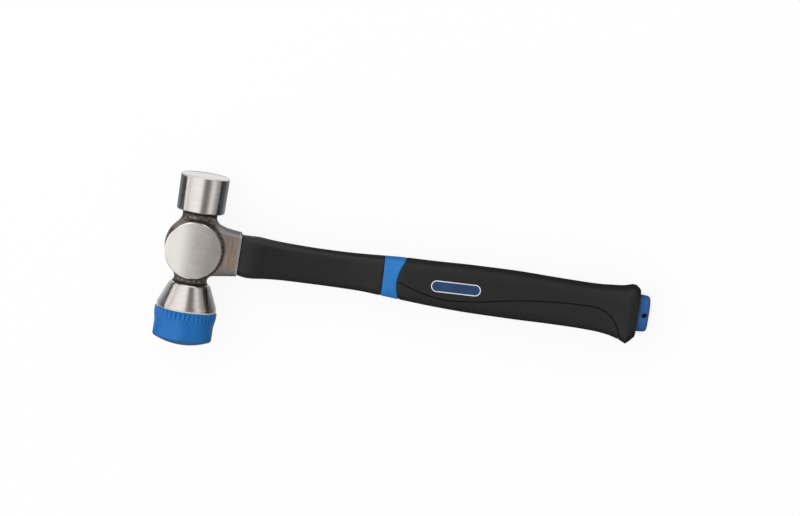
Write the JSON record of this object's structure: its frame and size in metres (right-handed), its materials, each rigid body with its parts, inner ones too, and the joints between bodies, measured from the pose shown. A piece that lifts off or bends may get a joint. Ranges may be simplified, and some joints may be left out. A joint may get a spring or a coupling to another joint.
{
  "type": "shop hammer",
  "caption": "Shop hammer with a round steel face, a screw-in ribbed plastic tip on a cone, and a glass-fibre handle in a black sleeve and grip with a blue band and butt plug.",
  "frame": {"origin": "under the middle of the whole hammer as it lies on its side, level with the lowest point of the plastic tip's rim", "axes": "+X along the handle towards the butt, +Y along the head towards the steel face, +Z out of the upper cheek"},
  "size_m": [0.325, 0.1146, 0.0415],
  "materials": {
    "forged_steel": "turned and ground faces, dark as-forged necks",
    "stud_steel": "zinc plated",
    "tip_plastic": "satin moulded",
    "blue_plastic": "satin moulded",
    "black_plastic": "fine matt texture",
    "black_rubber": "fine matt texture",
    "badge_plastic": "blank, with a pale rim",
    "adhesive": "cast",
    "glass_fibre": "pultruded rod"
  },
  "bodies": {
    "head_and_handle": {"head_forging": "forged_steel", "eye_bond": "adhesive", "handle_core": "glass_fibre", "socket_seal": "black_rubber", "shaft_sleeve": "black_plastic", "grip_liner": "blue_plastic", "grip_cover": "black_rubber", "grip_panel": "black_rubber", "badge_upper": "badge_plastic", "badge_lower": "badge_plastic", "butt_plug": "blue_plastic"},
    "stud": {"tip_stud": "stud_steel"},
    "tip": {"tip_cap": "tip_plastic"}
  },
  "joints": [
    {"name": "tip_travel", "type": "slide", "parent": "head_and_handle", "child": "stud", "axis": [0, -1, 0], "range_m": [0, 0.014]},
    {"name": "tip_turn", "type": "hinge", "parent": "stud", "child": "tip", "pos_m": [-0.14178, -0.03363, 0.02075], "axis": [0, -1, 0], "range_deg": [0, 2880]}
  ],
  "couplings": [
    {"joint": "tip_travel", "follows": "tip_turn", "m_per_rad": 0.00027852}
  ]
}
